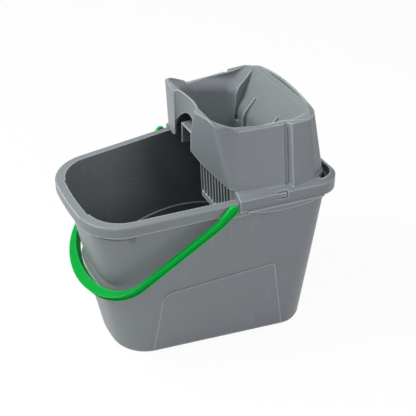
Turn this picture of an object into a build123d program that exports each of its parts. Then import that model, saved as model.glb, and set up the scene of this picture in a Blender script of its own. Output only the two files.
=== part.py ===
from build123d import *
from math import cos, hypot, radians, sin, tan
import os

os.makedirs("parts", exist_ok=True)

# A 15 litre oblong mop bucket with a bail handle and a press wringer that drops over its rear half.
# Millimetres. +X runs to the wringer end, -X to the pouring end, the origin is on the floor.

# Tub: corners of the outer wall at the floor and at the rim
tub_height = 281.0
foot_front = -147.0
foot_rear = 159.0
foot_front_half = 65.4
foot_rear_half = 117.8
foot_front_radius = 62.0
foot_rear_radius = 42.0
foot_bow = 3.0
foot_bow_radius = 200.0
mouth_front = -185.6
mouth_rear = 173.6
mouth_front_half = 90.6
mouth_rear_half = 131.0
mouth_front_radius = 57.0
mouth_rear_radius = 21.0
mouth_bow = 5.0
mouth_bow_radius = 500.0
wall = 3.0
mouth_lip = 3.0
floor_thickness = 3.0
foot_round = 7.0

# Shelf round the front, just under the resting handle
shelf_height = 140.0
shelf_rise = 10.0
shelf_proud = 2.5
shelf_setback = 2.5
shelf_tighten = 6.0

# Arched thickening on the inside of each side wall
pad_depth = 1.5
pad_front = -110.0
pad_front_height = 120.0
pad_middle = -12.0
pad_crown = 140.0
pad_rear = 105.0
pad_rear_height = 110.0

# Rim with its turned-down skirt
rim_overhang = 9.4
rim_thickness = 3.0
rim_round = 3.0
skirt_depth = 17.0
skirt_thickness = 2.4
pivot_plate_front = -8.0
pivot_plate_length = 44.0
pivot_plate_drop = 6.0

# Pouring spout in the middle of the front edge
spout_half = 52.0
spout_height = 32.0
spout_scoop = 2.4
spout_scoop_height = 40.0

# Raised panel low on each side
panel_proud = 1.8
panel_foot_front = -104.0
panel_foot_rear = 110.5
panel_top_front = -89.0
panel_front_height = 126.0
panel_top_rear = 88.5
panel_rear_height = 142.0
panel_front_round = 20.0
panel_rear_round = 5.0

# Bail handle, drawn at rest with its grip against the front of the tub
pivot_x = 8.0
pivot_drop = 6.5
rest_angle = 34.6
pin_diameter = 7.0
pin_clearance = 0.1
pin_reach = 6.0
eye_radius = 7.5
eye_gap = 0.5
strap_width = 13.0
strap_sag = 6.2
strap_bend = 30.0
arm_thickness = 5.0
grip_clearance = 1.2
grip_thickness = 16.0
grip_reach = 78.0
grip_half = 110.0
grip_sweep = 85.6
channel_depth = 2.5
channel_edge = 1.7

# Wringer flange that caps the rear half of the rim
flange_front = 19.0
flange_gap = 0.6
flange_thickness = 2.4
flange_depth = 15.0
flange_edge = 4.0
flange_roof = 6.0
flange_roof_run = 10.0
seat_gap = 0.2
lip_front = 30.0
lip_rear = 152.0
lip_drop = 9.0
lip_proud = 2.6
slot_front = 150.0
slot_edge = 6.0

# Wringer hood: corners of the outer wall, front to rear, insets at the base measured from the rim
tip_low = -13.0
tip_low_half = 22.0
tip_high = -10.0
tip_high_half = 30.0
tip_radius = 8.0
horn_low = 14.0
horn_low_inset = 16.5
horn_low_radius = 12.0
horn_high = -4.0
horn_high_half = 79.0
horn_high_radius = 8.0
shoulder = 34.0
shoulder_inset = 11.5
shoulder_half = 77.0
shoulder_radius = 20.0
channel_low = 93.0
channel_low_inset = 6.2
channel_high = 110.0
channel_high_half = 82.0
channel_run = 3.6
channel_cut = 4.0
channel_step = 5.0
flank_low = 140.0
flank_low_inset = 5.5
flank_high = 150.0
flank_high_half = 88.0
flank_radius = 12.0
back_low_half = 112.0
back_high_half = 76.0
back_lean = 4.0
back_radius = 14.0
hood_base_height = 7.0
hood_loft_height = 121.0
hood_wall = 3.0
hood_ceiling = 86.0
hood_inner_radius = 15.0
hood_rear_gap = 15.0
horn_height = 116.5
horn_fall_height = 99.0
horn_rear = 33.0
horn_nose = -11.0
horn_nose_round = 10.0
horn_side_half = 84.0
horn_side_round = 18.0
arch_height = 106.5
arch_half = 90.0
arch_sagitta = 13.5
apron_centre_half = 19.0
apron_centre_height = 49.0
apron_bend_half = 50.0
apron_bend_height = 32.0
apron_side_half = 115.0
apron_side_height = 10.0
apron_depth = 20.0

# Upright groove in the front of the hood, where the mop handle leans
groove_top_half = 36.0
groove_top_depth = 13.0
groove_low_half = 14.0
groove_low_depth = 6.0

# Arched window low in that groove, with an upside-down U rib behind it
window_half = 27.0
window_foot = 66.0
window_crown = 89.0
window_back = 14.0
hook_half = 18.5
hook_foot = 34.0
hook_top = 67.5
hook_front = -4.0
hook_thickness = 2.5

# Snap clip cut in each side of the flange
clip_front = 77.0
clip_length = 16.0
clip_low = -5.0
clip_height = 11.0
clip_slit = 2.2

# Funnel inside the hood: sloped ledge, throat edge in a tilted plane, throat and square spigot
throat_edge_front = 13.0
throat_edge_front_height = 99.0
throat_edge_rear = 118.0
throat_edge_rear_height = 73.0
throat_edge_half = 70.0
throat_edge_radius = 22.0
throat_edge_round = 20.0
ledge_rise = 44.0
ledge_side_run = 60.0
ledge_rear_run = 44.0
throat_front = 47.0
throat_rear = 114.0
throat_half = 62.0
throat_radius = 15.0
spigot_top = 19.0
spigot_length = 15.0
funnel_wall = 3.0
chute_front_half = 58.0
chute_rear_half = 94.0
chute_foot = 41.5
chute_angle = 53.0
chute_round = 35.0
rib_half_gap = 34.0
rib_thickness = 3.0
rib_proud = 4.0
rib_foot = 41.0
rib_top = 68.0
rib_back = 130.0

# Slotted basket under the funnel
basket_depth = 101.0
basket_taper = 2.0
basket_wall = 3.0
collar_gap = 0.2
slot_pitch = 10.0
bar_width = 2.8
slot_margin = 8.0

margin = 10.0
hair = 0.01
rim_slope = (mouth_rear_half - mouth_front_half) / (mouth_rear - mouth_front)


def between(low, high, share):
    return low + (high - low) * share


def rim_half(x):
    wall_half = mouth_front_half + rim_slope * (x - mouth_front)
    return wall_half + rim_overhang * hypot(1, rim_slope)


def tub_front(z):
    share = z / tub_height
    return between(foot_front - foot_bow, mouth_front - mouth_bow, share)


def rounded_outline(corners, grow, level):
    points = [Vector(x, y) for x, y, radius in corners]
    moved = []
    for before, here, after in zip(points[-1:] + points[:-1], points, points[1:] + points[:1]):
        first = (here - before).normalized()
        second = (after - here).normalized()
        outward = (first + second).rotate(Axis.Z, -90)
        moved.append(here + outward * (grow / (1 + first.dot(second))))
    turns = []
    for before, here, after, corner in zip(moved[-1:] + moved[:-1], moved, moved[1:] + moved[:1], corners):
        radius = corner[2] + grow if corner[2] else 0
        first = (here - before).normalized()
        second = (after - here).normalized()
        bisector = (second - first).normalized()
        half_turn = first.get_angle(second) / 2
        run = radius * tan(radians(half_turn))
        sagitta = radius / cos(radians(half_turn)) - radius
        turns.append((here - first * run, here + bisector * sagitta, here + second * run))
    with BuildSketch(Plane.XY.offset(level)) as outline:
        with BuildLine():
            for before, turn in zip(turns[-1:] + turns[:-1], turns):
                Line(before[2], turn[0])
                if turn[0] != turn[2]:
                    ThreePointArc(*turn)
        make_face()
    return outline.sketch


def tub_outline(shape_height, grow, level, proud=0, tighten=0):
    share = shape_height / tub_height
    front = between(foot_front, mouth_front, share)
    rear = between(foot_rear, mouth_rear, share)
    front_half = between(foot_front_half, mouth_front_half, share)
    rear_half = between(foot_rear_half, mouth_rear_half, share)
    side_slope = (rear_half - front_half) / (rear - front)
    nose = front - proud
    nose_half = front_half - side_slope * proud
    tip = nose - between(foot_bow, mouth_bow, share)
    bow_radius = between(foot_bow_radius, mouth_bow_radius, share)
    front_radius = between(foot_front_radius, mouth_front_radius, share) - tighten
    rear_radius = between(foot_rear_radius, mouth_rear_radius, share)
    corners = [
        (rear, rear_half, rear_radius),
        (nose, nose_half, front_radius),
        (tip, 0, bow_radius),
        (nose, -nose_half, front_radius),
        (rear, -rear_half, rear_radius),
    ]
    return rounded_outline(corners, grow, level)


def foot_sections(grow, floor):
    corner = radians(45)
    turn = foot_round * (1 - sin(corner))
    low = floor + foot_round
    steps = [(floor, foot_round), (floor + turn, turn), (low, 0)]
    return [tub_outline(low, grow - inset, level) for level, inset in steps]


def tub_sections(grow, floor, high, lip):
    shelf_top = shelf_height + shelf_rise
    return foot_sections(grow, floor) + [
        tub_outline(shelf_height, grow, shelf_height, shelf_proud, shelf_tighten),
        tub_outline(shelf_top, grow, shelf_top, -shelf_setback),
        tub_outline(high, grow, high, -lip),
    ]


def rim_outline(grow, level):
    return tub_outline(tub_height, rim_overhang + grow, level)


# Raised side panels
with BuildPart() as panels:
    panel_low = tub_outline(foot_round, panel_proud, foot_round)
    panel_high = tub_outline(panel_rear_height, panel_proud, panel_rear_height)
    loft([panel_low, panel_high], ruled=True)
    with BuildSketch(Plane.XZ) as panel_face:
        with BuildLine():
            Polyline(
                (panel_foot_front, 0),
                (panel_top_front, panel_front_height),
                (panel_top_rear, panel_rear_height),
                (panel_foot_rear, 0),
                close=True,
            )
        make_face()
        top_corners = panel_face.vertices().group_by(Axis.Y)
        fillet(top_corners[-2], panel_front_round)
        fillet(panel_face.vertices().sort_by(Axis.Y)[-1], panel_rear_round)
    extrude(amount=rim_half(panel_foot_rear), both=True, mode=Mode.INTERSECT)

# Spout wedge under the front of the rim
with BuildPart() as spout:
    spout_low = tub_height - spout_height
    extrude(rim_outline(0, spout_low), amount=spout_height)
    with BuildSketch(Plane.XZ):
        with BuildLine():
            Polyline(
                (tub_front(spout_low) + wall, spout_low),
                (tub_front(tub_height) - rim_overhang, tub_height),
                (tub_front(tub_height) + wall, tub_height),
                close=True,
            )
        make_face()
    extrude(amount=spout_half, both=True, mode=Mode.INTERSECT)

# Arched pads on the inside of the side walls, rooted in the wall
with BuildPart() as side_pads:
    pad_root = wall / 2
    pad_levels = (floor_thickness, pad_crown)
    loft([tub_outline(level, -pad_root, level) for level in pad_levels], ruled=True)
    pad_faces = [tub_outline(level, -wall - pad_depth, level) for level in pad_levels]
    loft(pad_faces, ruled=True, mode=Mode.SUBTRACT)
    with BuildSketch(Plane.XZ):
        with BuildLine():
            pad_arch = ThreePointArc(
                (pad_front, pad_front_height), (pad_middle, pad_crown), (pad_rear, pad_rear_height)
            )
            Polyline(pad_arch @ 1, (pad_rear, floor_thickness), (pad_front, floor_thickness), pad_arch @ 0)
        make_face()
    extrude(amount=rim_half(pad_rear), both=True, mode=Mode.INTERSECT)

# Inside of the tub
with BuildPart() as tub_inside:
    loft(tub_sections(-wall, floor_thickness, tub_height, mouth_lip), ruled=True)
    with BuildPart(mode=Mode.PRIVATE) as scoop:
        scoop_low = tub_height - spout_scoop_height
        scoop_foot = tub_outline(scoop_low, -wall, scoop_low, -mouth_lip)
        scoop_edge = tub_outline(tub_height, -wall, tub_height, spout_scoop - mouth_lip)
        loft([scoop_foot, scoop_edge], ruled=True)
        with Locations((mouth_front, 0, tub_height)):
            Box(2 * mouth_front_radius, 2 * (spout_half - wall), 2 * tub_height, mode=Mode.INTERSECT)
    add(scoop.part)

with BuildPart() as bucket:
    loft(tub_sections(0, 0, tub_height - rim_thickness, 0), ruled=True)
    skirt_low = tub_height - skirt_depth
    with BuildPart(mode=Mode.PRIVATE) as rim:
        extrude(rim_outline(0, skirt_low), amount=skirt_depth)
        fillet(rim.faces().sort_by(Axis.Z)[-1].edges(), rim_round)
        rim_hollow = rim_outline(-skirt_thickness, skirt_low)
        extrude(rim_hollow, amount=skirt_depth - rim_thickness, mode=Mode.SUBTRACT)
    add(rim.part)
    with BuildSketch(Plane.XY.offset(skirt_low - pivot_plate_drop)):
        add(rim_outline(0, 0))
        add(rim_outline(-skirt_thickness, 0), mode=Mode.SUBTRACT)
        with Locations((pivot_plate_front + pivot_plate_length / 2, 0)):
            Rectangle(pivot_plate_length, 2 * rim_half(mouth_rear), mode=Mode.INTERSECT)
    extrude(amount=pivot_plate_drop + rim_thickness)
    add(panels.part)
    add(spout.part)
    add(tub_inside.part, mode=Mode.SUBTRACT)
    add(side_pads.part)
    with Locations((pivot_x, 0, tub_height - pivot_drop)):
        for side in (-1, 1):
            with Locations((0, side * (rim_half(pivot_x) - skirt_thickness / 2), 0)):
                hole_radius = pin_diameter / 2 + pin_clearance / 2
                Cylinder(hole_radius, 3 * skirt_thickness, rotation=(90, 0, 0), mode=Mode.SUBTRACT)
bucket.part.label = "bucket"
export_step(bucket.part, "parts/bucket.step")

# Bail handle
arm_direction = (-cos(radians(rest_angle)), 0, -sin(radians(rest_angle)))
arm_normal = (-sin(radians(rest_angle)), 0, cos(radians(rest_angle)))
pivot = (pivot_x, 0, tub_height - pivot_drop)
bail_plane = Plane(origin=pivot, x_dir=arm_direction, z_dir=arm_normal)
strap_plane = Plane(origin=pivot, x_dir=arm_direction, z_dir=(0, 1, 0))
eye_inner = rim_half(pivot_x + eye_radius) + eye_gap
eye_outer = eye_inner + arm_thickness
strap_bottom = strap_width / 2 + strap_sag
shelf_front = tub_front(shelf_height) - shelf_proud
grip_run = pivot_x - shelf_front + grip_clearance + strap_bottom * sin(radians(rest_angle))
arm_length = grip_run / cos(radians(rest_angle)) + grip_thickness - grip_reach


def bail_band(arm, grip):
    with BuildSketch(bail_plane) as band:
        for thickness_arm, thickness_grip, mode in ((0, 0, Mode.ADD), (arm, grip, Mode.SUBTRACT)):
            with BuildLine():
                curve = EllipticalCenterArc(
                    (arm_length, 0),
                    grip_reach - thickness_grip,
                    grip_half - thickness_arm,
                    start_angle=-grip_sweep,
                    arc_size=2 * grip_sweep,
                )
                end = eye_outer - thickness_arm
                Polyline(curve @ 1, (0, end), (-eye_radius, end), (-eye_radius, -end), (0, -end), curve @ 0)
            make_face(mode=mode)
    return band.sketch


def strap_side(grow):
    top = strap_width / 2 - strap_sag
    bottom = top - strap_width
    far = arm_length + grip_reach + margin
    with BuildSketch(strap_plane) as side:
        with BuildLine():
            eye = ThreePointArc((0, -eye_radius), (-eye_radius, 0), (0, eye_radius))
            Polyline(eye @ 1, (strap_bend, top), (far, top), (far, bottom), (strap_bend, bottom), eye @ 0)
        make_face()
        if grow:
            offset(amount=grow)
    return side.sketch


with BuildPart() as strap_channel:
    extrude(bail_band(channel_depth, channel_depth), amount=strap_width, both=True)
    extrude(strap_side(-channel_edge), amount=eye_outer + margin, both=True, mode=Mode.INTERSECT)

with BuildPart() as handle:
    extrude(bail_band(arm_thickness, grip_thickness), amount=strap_width, both=True)
    extrude(strap_side(0), amount=eye_outer + margin, both=True, mode=Mode.INTERSECT)
    add(strap_channel.part, mode=Mode.SUBTRACT)
    pin_length = pin_reach + arm_thickness / 2
    for side in (-1, 1):
        with Locations((pivot_x, side * (eye_inner - pin_reach + pin_length / 2), tub_height - pivot_drop)):
            Cylinder(pin_diameter / 2, pin_length, rotation=(90, 0, 0))
handle.part.label = "handle"
export_step(handle.part, "parts/handle.step")

# Wringer hood, with the funnel moulded inside it
rim_rear = mouth_rear + rim_overhang
seat = tub_height + seat_gap
channel_low_half = rim_half(channel_low) - channel_low_inset
hood_back = rim_rear - hood_rear_gap


def side_channel(start, half, slope):
    offsets = (0, -channel_cut, -channel_cut, channel_step)
    runs = [channel_run * count for count in range(len(offsets))]
    return [(start + run, half + slope * run + out, 0) for run, out in zip(runs, offsets)]


hood_base = [
    (tip_low, tip_low_half, tip_radius),
    (horn_low, rim_half(horn_low) - horn_low_inset, horn_low_radius),
    (shoulder, rim_half(shoulder) - shoulder_inset, shoulder_radius),
    *side_channel(channel_low, channel_low_half, rim_slope),
    (flank_low, rim_half(flank_low) - flank_low_inset, flank_radius),
    (hood_back, back_low_half, back_radius),
]
hood_crown = [
    (tip_high, tip_high_half, tip_radius),
    (horn_high, horn_high_half, horn_high_radius),
    (shoulder, shoulder_half, shoulder_radius),
    *side_channel(channel_high, channel_high_half, 0),
    (flank_high, flank_high_half, flank_radius),
    (hood_back - back_lean, back_high_half, back_radius),
]
channel_corners = (3, 4, 6)


def hood_outline(corners, level):
    ring = [(x, -y, radius) for x, y, radius in corners] + corners[::-1]
    return rounded_outline(ring, 0, level)


def hood_inner_outline(corners, level):
    half = [(x, y, max(radius, hood_inner_radius)) for x, y, radius in corners]
    half = [corner for index, corner in enumerate(half) if index not in channel_corners]
    ring = [(x, -y, radius) for x, y, radius in half] + half[::-1]
    return rounded_outline(ring, -hood_wall, level)


def groove_tool(grow):
    with BuildPart() as tool:
        with BuildSketch(Plane.XY.offset(tub_height + hood_loft_height)):
            with Locations((hood_crown[0][0], 0)):
                Ellipse(groove_top_depth + grow, groove_top_half + grow)
        with BuildSketch(Plane.XY.offset(tub_height)):
            with Locations((hood_base[0][0], 0)):
                Ellipse(groove_low_depth + grow, groove_low_half + grow)
        loft(ruled=True)
    return tool.part


edge_run = throat_edge_rear - throat_edge_front
edge_fall = throat_edge_front_height - throat_edge_rear_height
edge_middle = (throat_edge_front + throat_edge_rear) / 2
edge_height = tub_height + (throat_edge_front_height + throat_edge_rear_height) / 2
throat_tilt = (edge_fall, 0, edge_run)
throat_plane = Plane((edge_middle, 0, edge_height), x_dir=(edge_run, 0, -edge_fall), z_dir=throat_tilt)
throat_middle = (throat_front + throat_rear) / 2


def throat_outline(grow, level):
    corners = [
        (throat_rear, throat_half, throat_radius),
        (throat_front, throat_half, throat_radius),
        (throat_front, -throat_half, throat_radius),
        (throat_rear, -throat_half, throat_radius),
    ]
    return rounded_outline(corners, grow, level)


def chute_tool(grow):
    chute_bend = throat_rear - throat_radius / 2
    corners = [
        (rim_rear, chute_rear_half, 0),
        (chute_bend, chute_front_half, 0),
        (throat_middle, chute_front_half, 0),
        (throat_middle, -chute_front_half, 0),
        (chute_bend, -chute_front_half, 0),
        (rim_rear, -chute_rear_half, 0),
    ]
    with BuildPart() as tool:
        extrude(rounded_outline(corners, grow, tub_height), amount=2 * hood_loft_height)
        extrude(chute_profile(grow), amount=rim_half(rim_rear), both=True, mode=Mode.INTERSECT)
    return tool.part


def chute_profile(grow):
    rise = tan(radians(chute_angle))
    chute_low = tub_height + spigot_top + funnel_wall
    ceiling = tub_height + hood_loft_height
    with BuildSketch(Plane.XZ) as profile:
        with BuildLine():
            Polyline(
                (throat_middle, chute_low),
                (throat_rear, chute_low),
                (throat_rear, tub_height + chute_foot),
                (rim_rear, tub_height + chute_foot + rise * (rim_rear - throat_rear)),
                (rim_rear, ceiling + rim_rear),
                (throat_middle, ceiling + rim_rear),
                close=True,
            )
        make_face()
        fillet(profile.vertices().group_by(Axis.X)[1].sort_by(Axis.Y)[-1], chute_round)
        if grow:
            offset(amount=grow, kind=Kind.INTERSECTION)
    return profile.sketch


def funnel_tool(grow):
    edge_length = hypot(edge_run, edge_fall)
    with BuildPart() as tool:
        with BuildSketch(throat_plane.offset(ledge_rise - grow)):
            with Locations(((ledge_rear_run - ledge_side_run) / 2, 0)):
                mouth_length = edge_length + ledge_side_run + ledge_rear_run
                mouth_width = 2 * (throat_edge_half + ledge_side_run)
                RectangleRounded(mouth_length + 2 * grow, mouth_width + 2 * grow, throat_edge_radius + grow)
        with BuildSketch(throat_plane.offset(-grow)) as edge:
            RectangleRounded(edge_length + 2 * grow, 2 * (throat_edge_half + grow), throat_edge_radius + grow)
        loft(ruled=True)
        spigot = throat_outline(grow, tub_height + spigot_top)
        loft([edge.sketch, spigot], ruled=True)
        throat_axis = Axis(throat_plane.origin, throat_plane.z_dir)
        throat_edges = tool.edges().filter_by_position(throat_axis, -grow - hair, -grow + hair)
        fillet(throat_edges, throat_edge_round - grow)
        extrude(spigot, amount=-spigot_length)
        add(chute_tool(grow))
    return tool.part


# Space between the hood's outer wall and the funnel
hood_inner_low = hood_inner_outline(hood_base, tub_height + hood_base_height)
hood_inner_high = hood_inner_outline(hood_crown, tub_height + hood_loft_height)
with BuildPart() as hood_space:
    loft([hood_inner_low, hood_inner_high], ruled=True)
    extrude(hood_inner_low, amount=-hood_base_height - flange_depth)
    split(bisect_by=Plane.XY.offset(tub_height + hood_ceiling), keep=Keep.BOTTOM)
    add(funnel_tool(funnel_wall), mode=Mode.SUBTRACT)
    add(groove_tool(hood_wall), mode=Mode.SUBTRACT)

# Mouth of the funnel down to the end of its spigot
with BuildPart() as funnel_space:
    add(funnel_tool(0))
    loft([hood_inner_low, hood_inner_high], ruled=True, mode=Mode.INTERSECT)
    add(groove_tool(hood_wall), mode=Mode.SUBTRACT)

with BuildPart() as lift_lips:
    lip_outline = rim_outline(flange_gap + flange_thickness + lip_proud, seat - flange_depth - lip_drop)
    extrude(lip_outline, amount=lip_drop + flange_depth)
    with BuildSketch(Plane.XZ):
        with BuildLine():
            lip_height = seat - flange_depth
            lip_middle = (lip_front + lip_rear) / 2
            lip_foot = (lip_middle, lip_height - lip_drop)
            ThreePointArc((lip_front, lip_height), lip_foot, (lip_rear, lip_height))
            Line((lip_rear, lip_height), (lip_front, lip_height))
        make_face()
    extrude(amount=rim_half(rim_rear) + margin, both=True, mode=Mode.INTERSECT)

with BuildPart() as wringer_hood:
    flange_grow = flange_gap + flange_thickness
    extrude(rim_outline(flange_grow, seat - flange_depth), amount=flange_depth + flange_edge)
    roof_low = rim_outline(flange_grow, seat + flange_edge)
    roof_high = rim_outline(flange_grow - flange_roof_run, seat + flange_edge + flange_roof)
    loft([roof_low, roof_high], ruled=True)
    add(lift_lips.part)
    rim_room = rim_outline(flange_gap, seat - flange_depth - lip_drop)
    extrude(rim_room, amount=flange_depth + lip_drop, mode=Mode.SUBTRACT)
    with BuildSketch(Plane.XY.offset(seat - flange_depth - lip_drop)):
        with Locations((flange_front, 0)):
            Rectangle(2 * rim_rear, 4 * rim_rear, align=(Align.MAX, Align.CENTER))
    extrude(amount=hood_loft_height, mode=Mode.SUBTRACT)
    hood_low = hood_outline(hood_base, tub_height + hood_base_height)
    hood_high = hood_outline(hood_crown, tub_height + hood_loft_height)
    loft([hood_low, hood_high], ruled=True)
    # Apron: the front panels end in a rising edge above the open part of the bucket
    with BuildSketch(Plane.YZ.offset(apron_depth)):
        with BuildLine():
            Polyline(
                (-apron_side_half, 0),
                (-apron_side_half, tub_height + apron_side_height),
                (-apron_bend_half, tub_height + apron_bend_height),
                (-apron_centre_half, tub_height + apron_centre_height),
                (apron_centre_half, tub_height + apron_centre_height),
                (apron_bend_half, tub_height + apron_bend_height),
                (apron_side_half, tub_height + apron_side_height),
                (apron_side_half, 0),
                close=True,
            )
        make_face()
    extrude(amount=-2 * apron_depth - margin, mode=Mode.SUBTRACT)
    # Horns at the front
    with BuildSketch(Plane.XZ):
        with BuildLine():
            nose_low = tub_height + horn_height - horn_nose_round
            nose = JernArc((horn_nose, nose_low), (0, 1), horn_nose_round, -90)
            Polyline(
                nose @ 1,
                (horn_rear, tub_height + horn_fall_height),
                (horn_rear, tub_height + 2 * hood_loft_height),
                (horn_nose - margin, tub_height + 2 * hood_loft_height),
                (horn_nose - margin, nose_low),
                nose @ 0,
            )
        make_face()
    extrude(amount=rim_rear, both=True, mode=Mode.SUBTRACT)
    for side in (-1, 1):
        with BuildSketch(Plane.YZ.offset(horn_rear)):
            with BuildLine():
                side_low = tub_height + horn_height - horn_side_round
                turn = JernArc((side * horn_side_half, side_low), (0, 1), horn_side_round, side * 90)
                Polyline(
                    turn @ 1,
                    (turn @ 1) + Vector(0, margin),
                    (turn @ 0) + Vector(side * margin, horn_side_round + margin),
                    (turn @ 0) + Vector(side * margin, 0),
                    turn @ 0,
                )
            make_face()
        extrude(amount=horn_nose - horn_rear - margin, mode=Mode.SUBTRACT)
    # Arched top of the sides and the back
    with BuildSketch(Plane.YZ.offset(horn_rear)):
        with BuildLine():
            arch_low = tub_height + arch_height - arch_sagitta
            arch_top = arch_low + arch_sagitta
            arch = ThreePointArc((-arch_half, arch_low), (0, arch_top), (arch_half, arch_low))
            Polyline(
                arch @ 1,
                (rim_rear, arch_low),
                (rim_rear, tub_height + 2 * hood_loft_height),
                (-rim_rear, tub_height + 2 * hood_loft_height),
                (-rim_rear, arch_low),
                arch @ 0,
            )
        make_face()
    extrude(amount=rim_rear, mode=Mode.SUBTRACT)
    add(groove_tool(0), mode=Mode.SUBTRACT)
    add(hood_space.part, mode=Mode.SUBTRACT)
    with BuildSketch(Plane.YZ.offset(window_back)):
        with BuildLine():
            window_low = tub_height + window_foot
            window_top = tub_height + window_crown
            window = ThreePointArc((-window_half, window_low), (0, window_top), (window_half, window_low))
            Polyline(window @ 1, (window_half, tub_height), (-window_half, tub_height), window @ 0)
        make_face()
    extrude(amount=-window_back - 2 * margin, mode=Mode.SUBTRACT)
    with BuildSketch(Plane.YZ.offset(hook_front)):
        with Locations((0, tub_height + hook_top)):
            Rectangle(2 * hook_half, hook_top - hook_foot, align=(Align.CENTER, Align.MAX))
            hook_gap = 2 * (hook_half - hook_thickness)
        with Locations((0, tub_height + hook_top - hook_thickness)):
            Rectangle(hook_gap, hook_top, align=(Align.CENTER, Align.MAX), mode=Mode.SUBTRACT)
    extrude(amount=throat_front - hook_front)
    add(funnel_space.part, mode=Mode.SUBTRACT)
    # Slot behind the hood, above the rear rim
    with BuildSketch(Plane.XY.offset(seat - margin)):
        add(rim_outline(-slot_edge, 0))
        add(hood_outline(hood_base, 0), mode=Mode.SUBTRACT)
        with Locations((slot_front, 0)):
            Rectangle(rim_rear, 4 * rim_rear, align=(Align.MIN, Align.CENTER), mode=Mode.INTERSECT)
    extrude(amount=margin + flange_edge + flange_roof + hair, mode=Mode.SUBTRACT)
    # Snap clips
    for side in (-1, 1):
        with BuildSketch(Plane.XZ.offset(side * rim_half(clip_front))):
            with Locations((clip_front, tub_height + clip_low)):
                Rectangle(clip_length, clip_height, align=(Align.MIN, Align.MIN))
            with Locations((clip_front, tub_height + clip_low + clip_slit)):
                tongue = (clip_length - clip_slit, clip_height - 2 * clip_slit)
                Rectangle(*tongue, align=(Align.MIN, Align.MIN), mode=Mode.SUBTRACT)
        extrude(amount=side * margin, mode=Mode.SUBTRACT)
    # Ribs on the rear of the throat, fading out up the chute
    for side in (-1, 1):
        with BuildSketch(Plane.XZ.offset(side * rib_half_gap)):
            with BuildLine():
                crest = Spline(
                    (throat_rear - rib_proud, tub_height + spigot_top),
                    (throat_rear - rib_proud, tub_height + rib_foot),
                    (rib_back, tub_height + rib_top),
                    tangents=[(0, 1), (cos(radians(chute_angle)), sin(radians(chute_angle)))],
                )
                Polyline(
                    crest @ 1,
                    (rib_back + rib_proud, tub_height + rib_top),
                    (throat_rear + funnel_wall / 2, tub_height + rib_foot),
                    (throat_rear + funnel_wall / 2, tub_height + spigot_top),
                    crest @ 0,
                )
            make_face()
        extrude(amount=rib_thickness / 2, both=True)
wringer_hood.part.label = "wringer_hood"
export_step(wringer_hood.part, "parts/wringer_hood.step")

# Basket: a slotted box whose collar slips over the funnel's spigot
basket_top = tub_height + spigot_top - spigot_length
basket_floor = basket_top - basket_depth
with BuildPart() as wringer_basket:
    collar = basket_wall + funnel_wall + collar_gap
    box_low = throat_outline(basket_wall - basket_taper, basket_floor - basket_wall)
    box_high = throat_outline(collar, tub_height + spigot_top - collar_gap)
    loft([box_low, box_high], ruled=True)
    inside_low = throat_outline(-basket_taper, basket_floor)
    inside_high = throat_outline(0, basket_top)
    loft([inside_low, inside_high], ruled=True, mode=Mode.SUBTRACT)
    extrude(throat_outline(funnel_wall + collar_gap, basket_top), amount=spigot_length, mode=Mode.SUBTRACT)
    slot_height = basket_depth - 2 * slot_margin
    slot_count_across = int((2 * throat_half - 2 * throat_radius) / slot_pitch) + 1
    slot_count_along = int((throat_rear - throat_front - 2 * throat_radius) / slot_pitch) + 1
    box_size = 4 * throat_half
    with Locations((throat_middle, 0, basket_floor + basket_depth / 2)):
        with GridLocations(0, slot_pitch, 1, slot_count_across):
            Box(box_size, slot_pitch - bar_width, slot_height, mode=Mode.SUBTRACT)
        with GridLocations(slot_pitch, 0, slot_count_along, 1):
            Box(slot_pitch - bar_width, box_size, slot_height, mode=Mode.SUBTRACT)
    with Locations((throat_middle, 0, basket_floor - basket_wall / 2)):
        with GridLocations(0, slot_pitch, 1, slot_count_across):
            floor_slot = throat_rear - throat_front - 2 * throat_radius
            Box(floor_slot, slot_pitch - bar_width, 2 * basket_wall, mode=Mode.SUBTRACT)
wringer_basket.part.label = "wringer_basket"
export_step(wringer_basket.part, "parts/wringer_basket.step")
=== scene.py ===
import math
import bpy
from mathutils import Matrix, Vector


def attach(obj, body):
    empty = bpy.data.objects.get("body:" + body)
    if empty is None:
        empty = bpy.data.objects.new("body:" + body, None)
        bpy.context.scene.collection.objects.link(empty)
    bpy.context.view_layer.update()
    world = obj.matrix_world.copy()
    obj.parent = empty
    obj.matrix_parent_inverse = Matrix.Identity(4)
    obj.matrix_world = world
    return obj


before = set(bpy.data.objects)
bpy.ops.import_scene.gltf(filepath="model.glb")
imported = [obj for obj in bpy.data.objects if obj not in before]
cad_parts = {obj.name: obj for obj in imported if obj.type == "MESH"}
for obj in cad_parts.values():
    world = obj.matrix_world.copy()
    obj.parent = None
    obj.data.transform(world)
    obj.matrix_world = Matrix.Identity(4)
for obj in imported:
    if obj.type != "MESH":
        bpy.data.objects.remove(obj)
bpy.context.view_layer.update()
scene = bpy.context.scene
white = (1, 1, 1, 1)
black = (0, 0, 0, 1)
print("frame loaded:", ", ".join(sorted(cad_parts)))


class Sock:
    # a node's output that can be written in plain sums

    def __init__(self, bench, socket):
        self.bench = bench
        self.socket = socket

    def math(self, operation, first, second):
        return self.bench.node("ShaderNodeMath", {"operation": operation}, {0: first, 1: second})

    def __add__(self, other):
        return self.math("ADD", self, other)

    def __radd__(self, other):
        return self.math("ADD", other, self)

    def __sub__(self, other):
        return self.math("SUBTRACT", self, other)

    def __rsub__(self, other):
        return self.math("SUBTRACT", other, self)

    def __mul__(self, other):
        return self.math("MULTIPLY", self, other)

    def __rmul__(self, other):
        return self.math("MULTIPLY", other, self)

    def orMore(self, other):
        return self.math("MAXIMUM", self, other)

    def also(self, output):
        # another output of the same node
        return Sock(self.bench, self.socket.node.outputs[output])


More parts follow.
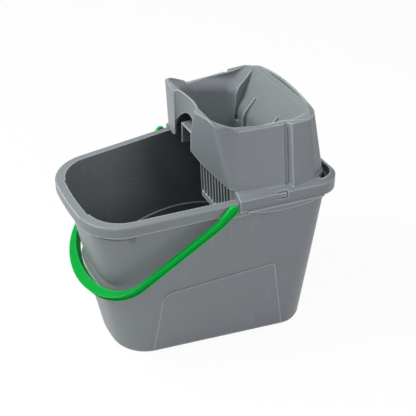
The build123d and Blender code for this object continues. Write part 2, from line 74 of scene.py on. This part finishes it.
class Bench:
    # a node tree with one way to add nodes to it

    def __init__(self, tree):
        self.tree = tree

    def node(self, kind, settings, inputs, output=0):
        made = self.tree.nodes.new(kind)
        for key, value in settings.items():
            if key == "stops":
                for stop, (place, colour) in zip(made.color_ramp.elements, value):
                    stop.position = place
                    stop.color = colour
            else:
                setattr(made, key, value)
        for key, value in inputs.items():
            if isinstance(value, Sock):
                self.tree.links.new(value.socket, made.inputs[key])
            else:
                made.inputs[key].default_value = value
        return Sock(self, made.outputs[output])

    def close(self, surface):
        out = self.tree.nodes.new("ShaderNodeOutputMaterial")
        self.tree.links.new(surface.socket, out.inputs["Surface"])


# the Mix node's colour sockets go by number, because its sockets for plain values have the same names
colourMix = {"amount": 0, "first": 6, "second": 7, "result": 2}


def mixColour(bench, amount, first, second):
    inputs = {colourMix["amount"]: amount, colourMix["first"]: first, colourMix["second"]: second}
    return bench.node("ShaderNodeMix", {"data_type": "RGBA"}, inputs, colourMix["result"])


def noise(bench, place, scale, detail):
    return bench.node("ShaderNodeTexNoise", {}, {"Vector": place, "Scale": scale, "Detail": detail})


def newFinish(name):
    material = bpy.data.materials.new(name)
    material.use_nodes = True
    material.node_tree.nodes.clear()
    return material, Bench(material.node_tree)


def scuffMask(bench, place, look):
    # sparse scuffed streaks, drawn out by the stretch
    drawn = bench.node("ShaderNodeMapping", {}, {"Vector": place, "Scale": look["scuffStretch"]})
    rub = noise(bench, drawn, look["scuffScale"], look["scuffDetail"])
    stops = ((look["scuffFrom"], black), (look["scuffFull"], white))
    return bench.node("ShaderNodeValToRGB", {"stops": stops}, {"Fac": rub})


def edgeHighlightMask(bench, look):
    # painted highlight on outer edges: where a widely rounded normal leaves the face's own, but not in inner
    # corners
    wide = bench.node("ShaderNodeBevel", {"samples": look["edgeSamples"]}, {"Radius": look["edgeWidth"]})
    face = bench.node("ShaderNodeNewGeometry", {}, {}, "Normal")
    agree = bench.node("ShaderNodeVectorMath", {"operation": "DOT_PRODUCT"}, {0: wide, 1: face}, "Value")
    openness = bench.node(
        "ShaderNodeAmbientOcclusion",
        {"only_local": True, "samples": look["edgeSamples"]},
        {"Distance": look["cornerReach"]},
        "AO",
    )
    outer = (openness - look["cornerShade"]).orMore(0) * (1 / (1 - look["cornerShade"]))
    return (1 - agree) * outer * look["edgeWear"]


def gripMask(bench, place, look):
    # 1 on the handle's grip, where shade is painted, fading to 0 where the straps begin
    along = bench.node("ShaderNodeSeparateXYZ", {}, {"Vector": place}, "X")
    span = {"Value": along, "From Min": look["gripRear"], "From Max": look["gripFront"]}
    return bench.node("ShaderNodeMapRange", {}, span)


def mouldedPlastic(name, look):
    material, bench = newFinish(name)
    place = bench.node("ShaderNodeTexCoord", {}, {}, "Object")
    flow = noise(bench, place, look["flowScale"], look["flowDetail"])
    grain = noise(bench, place, look["grainScale"], look["grainDetail"])
    scuff = scuffMask(bench, place, look)
    tint = mixColour(bench, flow, look["darkColour"], look["paleColour"])
    # painted shade on the grip, deeper than the straps
    if "gripColour" in look:
        tint = mixColour(bench, gripMask(bench, place, look), tint, look["gripColour"])
    # painted highlight on outer edges; the same pale colour also marks the real scuffs below
    highlitEdges = mixColour(bench, edgeHighlightMask(bench, look), tint, look["edgeColour"])
    highlitAndScuffed = mixColour(bench, scuff * look["scuffAmount"], highlitEdges, look["edgeColour"])
    uneven = (grain - look["grainMiddle"]) * look["roughnessSpread"]
    rough = look["roughness"] + uneven + scuff * look["scuffRoughness"]
    soft = bench.node("ShaderNodeBevel", {"samples": look["softSamples"]}, {"Radius": look["edgeRadius"]})
    relief = bench.node(
        "ShaderNodeBump",
        {},
        {"Strength": look["grainStrength"], "Distance": look["grainDepth"], "Height": grain, "Normal": soft},
    )
    surface = bench.node(
        "ShaderNodeBsdfPrincipled",
        {},
        {
            "Base Color": highlitAndScuffed,
            "Roughness": rough,
            "Normal": relief,
            "IOR": look["ior"],
            "Specular IOR Level": look["gloss"],
        },
    )
    bench.close(surface)
    return material


# what all the mouldings share: lengths in metres, scales per metre
plasticLook = {
    "flowDetail": 2.0,
    "grainScale": 900.0,
    "grainDetail": 3.0,
    "grainMiddle": 0.5,
    "scuffDetail": 4.0,
    "scuffFrom": 0.62,
    "scuffFull": 0.80,
    "roughness": 0.40,
    "softSamples": 6,
    "edgeSamples": 8,
    "cornerReach": 0.0012,
    "cornerShade": 0.6,
    "ior": 1.46,
}
greyLook = plasticLook | {
    "darkColour": (0.172, 0.193, 0.205, 1),
    "paleColour": (0.193, 0.216, 0.229, 1),
    "edgeColour": (0.480, 0.525, 0.545, 1),
    "flowScale": 9.0,
    "grainStrength": 0.15,
    "grainDepth": 0.0004,
    "scuffStretch": (1.0, 1.0, 0.25),
    "scuffScale": 60.0,
    "scuffAmount": 0.10,
    "scuffRoughness": 0.06,
    "roughnessSpread": 0.12,
    "edgeRadius": 0.0012,
    "edgeWidth": 0.004,
    "edgeWear": 3.5,
    "gloss": 0.4,
}
greenLook = plasticLook | {
    "darkColour": (0.0, 0.375, 0.040, 1),
    "paleColour": (0.0, 0.425, 0.052, 1),
    "edgeColour": (0.01, 0.62, 0.11, 1),
    "gripColour": (0.0, 0.300, 0.038, 1),  # painted shade: the grip is a shade deeper than the straps
    "gripFront": -0.150,
    "gripRear": -0.095,
    "flowScale": 14.0,
    "grainStrength": 0.1,
    "grainDepth": 0.0003,
    "scuffStretch": (1.0, 1.0, 1.0),
    "scuffScale": 70.0,
    "scuffAmount": 0.08,
    "scuffRoughness": 0.05,
    "roughnessSpread": 0.1,
    "edgeRadius": 0.001,
    "edgeWidth": 0.003,
    "edgeWear": 3.0,
    "gloss": 0.08,
}
# the basket is clearly paler than the hood, for the bright light that its bars get
basketLook = greyLook | {
    "darkColour": (0.290, 0.315, 0.325, 1),
    "paleColour": (0.320, 0.350, 0.360, 1),
    "edgeColour": (0.620, 0.660, 0.670, 1),
}
markLook = greyLook | {"edgeWear": 0.0}  # fine marks, with no painted edge highlights of their own
# painted highlight: the lip's pale colours stand in for the highlight on a small rounded edge
highlightLipLook = basketLook | {
    "darkColour": (0.60, 0.64, 0.66, 1),
    "paleColour": (0.66, 0.70, 0.72, 1),
    "edgeWear": 0.0,
    "gloss": 0.5,
}
greyPlastic = mouldedPlastic("greyPlastic", greyLook)
basketPlastic = mouldedPlastic("basketPlastic", basketLook)
markPlastic = mouldedPlastic("markPlastic", markLook)
highlightLipPlastic = mouldedPlastic("highlightLipPlastic", highlightLipLook)
greenPlastic = mouldedPlastic("greenPlastic", greenLook)
nodeFinish = {
    "bucket": greyPlastic,
    "handle": greenPlastic,
    "wringer_hood": greyPlastic,
    "wringer_basket": basketPlastic,
}
for nodeName, finish in nodeFinish.items():
    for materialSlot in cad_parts[nodeName].material_slots:
        materialSlot.material = finish
print("finishes set")

# thin trim on the tub's walls: a bar's ring of sides, and how far a point is thrown to meet a wall
trim = {"barSides": 10, "throwLength": 1.0}


def wallTree(name, sizes, build):
    # a tree whose named sizes are its inputs; build gets them as sockets and gives the raised shape
    tree = bpy.data.node_groups.new(name, "GeometryNodeTree")
    for sizeName, kind in sizes.items():
        tree.interface.new_socket(sizeName, in_out="INPUT", socket_type=kind)
    tree.interface.new_socket("Raised", in_out="OUTPUT", socket_type="NodeSocketGeometry")
    bench = Bench(tree)
    entry = tree.nodes.new("NodeGroupInput")
    size = {sizeName: Sock(bench, entry.outputs[sizeName]) for sizeName in sizes}
    whole = bench.node("GeometryNodeRealizeInstances", {}, {"Geometry": build(bench, size)})
    finished = bench.node("GeometryNodeSetMaterial", {}, {"Geometry": whole, "Material": size["Finish"]})
    tree.links.new(finished.socket, tree.nodes.new("NodeGroupOutput").inputs["Raised"])
    return tree


def rowOfPoints(bench, size):
    return bench.node(
        "GeometryNodeMeshLine",
        {"mode": "OFFSET"},
        {"Count": size["Count"], "Start Location": size["First"], "Offset": size["Step"]},
    )


def thrownOnWall(bench, row, size):
    # a row or curve thrown onto the wall, whose points keep the wall's normal
    wall = bench.node("GeometryNodeObjectInfo", {}, {"Object": size["Wall"]}, "Geometry")
    place = bench.node(
        "GeometryNodeRaycast",
        {},
        {"Target Geometry": wall, "Ray Direction": size["Throw"], "Ray Length": trim["throwLength"]},
        "Hit Position",
    )
    marked = bench.node(
        "GeometryNodeStoreNamedAttribute",
        {"data_type": "FLOAT_VECTOR"},
        {"Geometry": row, "Name": "wallNormal", "Value": place.also("Hit Normal")},
    )
    return bench.node("GeometryNodeSetPosition", {}, {"Geometry": marked, "Position": place})


def roundBar(bench, line, radius):
    ring = bench.node(
        "GeometryNodeCurvePrimitiveCircle", {}, {"Resolution": trim["barSides"], "Radius": radius}
    )
    return bench.node(
        "GeometryNodeCurveToMesh", {}, {"Curve": line, "Profile Curve": ring, "Fill Caps": True}
    )


def barsOnWall(bench, size):
    thrown = thrownOnWall(bench, rowOfPoints(bench, size), size)
    line = bench.node(
        "GeometryNodeCurvePrimitiveLine", {}, {"Start": size["Bar Start"], "End": size["Bar End"]}
    )
    normal = bench.node(
        "GeometryNodeInputNamedAttribute",
        {"data_type": "FLOAT_VECTOR"},
        {"Name": "wallNormal"},
        "Attribute",
    )
    # the normal turned towards +Y on either side, so that a bar keeps its own direction
    sideways = bench.node("ShaderNodeSeparateXYZ", {}, {"Vector": normal}, "Y")
    facing = bench.node("ShaderNodeVectorMath", {"operation": "SCALE"}, {0: normal, "Scale": sideways})
    turn = bench.node("FunctionNodeAlignRotationToVector", {"axis": "Y"}, {"Vector": facing})
    return bench.node(
        "GeometryNodeInstanceOnPoints",
        {},
        {"Points": thrown, "Instance": roundBar(bench, line, size["Radius"]), "Rotation": turn},
    )


def beadOnWall(bench, size):
    thrown = thrownOnWall(bench, rowOfPoints(bench, size), size)
    return roundBar(bench, bench.node("GeometryNodeMeshToCurve", {}, {"Mesh": thrown}), size["Radius"])


def archOnWall(bench, size):
    arch = bench.node(
        "GeometryNodeCurveArc",
        {"mode": "POINTS"},
        {"Resolution": size["Count"], "Start": size["First"], "Middle": size["Crown"], "End": size["Last"]},
    )
    return roundBar(bench, thrownOnWall(bench, arch, size), size["Radius"])


wallSizes = {
    "Count": "NodeSocketInt",
    "First": "NodeSocketVector",
    "Throw": "NodeSocketVector",
    "Radius": "NodeSocketFloat",
    "Wall": "NodeSocketObject",
    "Finish": "NodeSocketMaterial",
}
rowSizes = wallSizes | {"Step": "NodeSocketVector"}
barSizes = rowSizes | {"Bar Start": "NodeSocketVector", "Bar End": "NodeSocketVector"}
archSizes = wallSizes | {"Crown": "NodeSocketVector", "Last": "NodeSocketVector"}
barTree = wallTree("barsOnWall", barSizes, barsOnWall)
beadTree = wallTree("beadOnWall", rowSizes, beadOnWall)
archTree = wallTree("archOnWall", archSizes, archOnWall)


def raiseOnWall(name, tree, sizes):
    piece = bpy.data.objects.new(name, bpy.data.meshes.new(name))
    scene.collection.objects.link(piece)
    modifier = piece.modifiers.new("raise", "NODES")
    modifier.node_group = tree
    values = sizes | {"Wall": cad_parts["bucket"]}
    for socket in tree.interface.items_tree:
        if socket.in_out == "INPUT":
            modifier[socket.identifier] = values[socket.name]
    evaluated = piece.evaluated_get(bpy.context.evaluated_depsgraph_get())
    mesh = bpy.data.meshes.new_from_object(evaluated)
    piece.modifiers.clear()
    piece.data = mesh
    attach(piece, "bucket")
    print("raised", name, len(mesh.polygons), "faces")


# level marks inside the far wall
levelMarks = {
    "Count": 6,
    "First": (-0.052, 0, 0.193),
    "Step": (0, 0, 0.0116),
    "Throw": (0, 1, 0),
    "Radius": 0.0004,
    "Bar Start": (-0.007, 0, 0),
    "Bar End": (0.007, 0, 0),
    "Finish": markPlastic,
}
raiseOnWall("levelMarks", barTree, levelMarks)

outside = 0.25  # well clear of the tub's sides, where a throw inwards starts
for sideName, side in {"near": -1, "far": 1}.items():
    # ribbed catch under the skirt, near the spout
    catchRibs = {
        "Count": 4,
        "First": (-0.1395, side * outside, 0.2475),
        "Step": (0.0026, 0, 0),
        "Throw": (0, -side, 0),
        "Radius": 0.0011,
        "Bar Start": (0, 0, -0.0045),
        "Bar End": (0, 0, 0.0045),
        "Finish": markPlastic,
    }
    raiseOnWall(sideName + "CatchRibs", barTree, catchRibs)
    # fine bead that runs from the catch round to the spout
    skirtBead = {
        "Count": 24,
        "First": (-0.1745, side * outside, 0.2500),
        "Step": (0.0015, 0, 0),
        "Throw": (0, -side, 0),
        "Radius": 0.0008,
        "Finish": markPlastic,
    }
    raiseOnWall(sideName + "SkirtBead", beadTree, skirtBead)
    # rounded lip along the top of the arched pad inside, whose pale colour is a painted highlight
    archLip = {
        "Count": 64,
        "First": (-0.108, 0, 0.1200),
        "Crown": (-0.012, 0, 0.1394),
        "Last": (0.103, 0, 0.1101),
        "Throw": (0, side, 0),
        "Radius": 0.0009,
        "Finish": highlightLipPlastic,
    }
    raiseOnWall(sideName + "ArchLip", archTree, archLip)

# camera at the photograph's angle; the small shift only frames the picture
view = {
    "place": (-0.5061, -1.0475, 1.0316),
    "azimuth": -27.156,  # degrees from looking along +Y
    "tilt": 33.408,  # degrees down from level
    "focalPixels": 909.38,
    "axisPixel": 174.72,  # the lens axis, in pixels from the top
    "imagePixels": 416,
    "sensor": 36.0,
}
cameraData = bpy.data.cameras.new("camera")
cameraData.sensor_width = view["sensor"]
cameraData.lens = view["focalPixels"] / view["imagePixels"] * view["sensor"]
cameraData.shift_y = (view["axisPixel"] - view["imagePixels"] / 2) / view["imagePixels"]
camera = bpy.data.objects.new("camera", cameraData)
camera.location = view["place"]
camera.rotation_euler = (math.radians(90 - view["tilt"]), 0, math.radians(view["azimuth"]))
scene.collection.objects.link(camera)
scene.camera = camera
print("camera placed")

# studio: a broad key above the spout's far side, a softer lamp at the near side, two weak fills
# and a white sweep; the world's faint tint reaches the object only as ambient light
studio = {
    "floorHalf": 6.0,
    "floorColour": (0.9, 0.9, 0.9, 1),
    "floorGlow": 0.95,
    "glowStrength": 1.0,
    "worldColour": (1, 0.88, 1, 1),
    "worldStrength": 0.26,
}
lamps = {
    "key": {
        "place": (-1.0, 0.35, 1.7),
        "aim": (0, 0, 0.25),
        "size": 1.0,
        "power": 37,
        "colour": (0.96, 1, 0.95),
    },
    "sideHigh": {
        "place": (0.5, -1.9, 1.5),
        "aim": (0, 0, 0.25),
        "size": 0.9,
        "power": 15,
        "colour": (1, 1, 1),
    },
    "sideFill": {
        "place": (0.2, -2.2, 0.4),
        "aim": (0, 0, 0.2),
        "size": 0.9,
        "power": 2,
        "colour": (1, 1, 1),
    },
    "frontFill": {
        "place": (-2.2, -0.4, 1.1),
        "aim": (0, 0, 0.25),
        "size": 0.6,
        "power": 4.5,
        "colour": (1, 1, 1),
    },
}
for lampName, lamp in lamps.items():
    lampData = bpy.data.lights.new(lampName, "AREA")
    lampData.size = lamp["size"]
    lampData.energy = lamp["power"]
    lampData.color = lamp["colour"]
    lampObject = bpy.data.objects.new(lampName, lampData)
    lampObject.location = lamp["place"]
    direction = Vector(lamp["aim"]) - Vector(lamp["place"])
    lampObject.rotation_euler = direction.to_track_quat("-Z", "Y").to_euler()
    scene.collection.objects.link(lampObject)


def seenDirectly(bench):
    # camera, mirror and see-through rays, which see the white sweep as it is
    ray = bench.node("ShaderNodeLightPath", {}, {}, "Is Camera Ray")
    return ray.orMore(ray.also("Is Glossy Ray")).orMore(ray.also("Is Transmission Ray"))


floorMesh = bpy.data.meshes.new("floor")
half = studio["floorHalf"]
floorCorners = [(-half, -half, 0), (half, -half, 0), (half, half, 0), (-half, half, 0)]
floorMesh.from_pydata(floorCorners, [], [(0, 1, 2, 3)])
floor = bpy.data.objects.new("floor", floorMesh)
scene.collection.objects.link(floor)
paper, paperBench = newFinish("paper")
matt = paperBench.node("ShaderNodeBsdfDiffuse", {}, {"Color": studio["floorColour"]})
glow = paperBench.node("ShaderNodeEmission", {}, {"Color": white, "Strength": studio["glowStrength"]})
glowShare = seenDirectly(paperBench) * studio["floorGlow"]
paperBench.close(paperBench.node("ShaderNodeMixShader", {}, {0: glowShare, 1: matt, 2: glow}))
floorMesh.materials.append(paper)

world = bpy.data.worlds.new("studio")
scene.world = world
world.use_nodes = True
background = world.node_tree.nodes["Background"]
worldBench = Bench(world.node_tree)
seen = seenDirectly(worldBench)
ambient = studio["worldStrength"]
worldLevel = ambient + seen * (1 - ambient)
worldTint = mixColour(worldBench, seen, studio["worldColour"], white)
world.node_tree.links.new(worldLevel.socket, background.inputs["Strength"])
world.node_tree.links.new(worldTint.socket, background.inputs["Color"])
scene.view_settings.view_transform = "Standard"
print("studio lit")
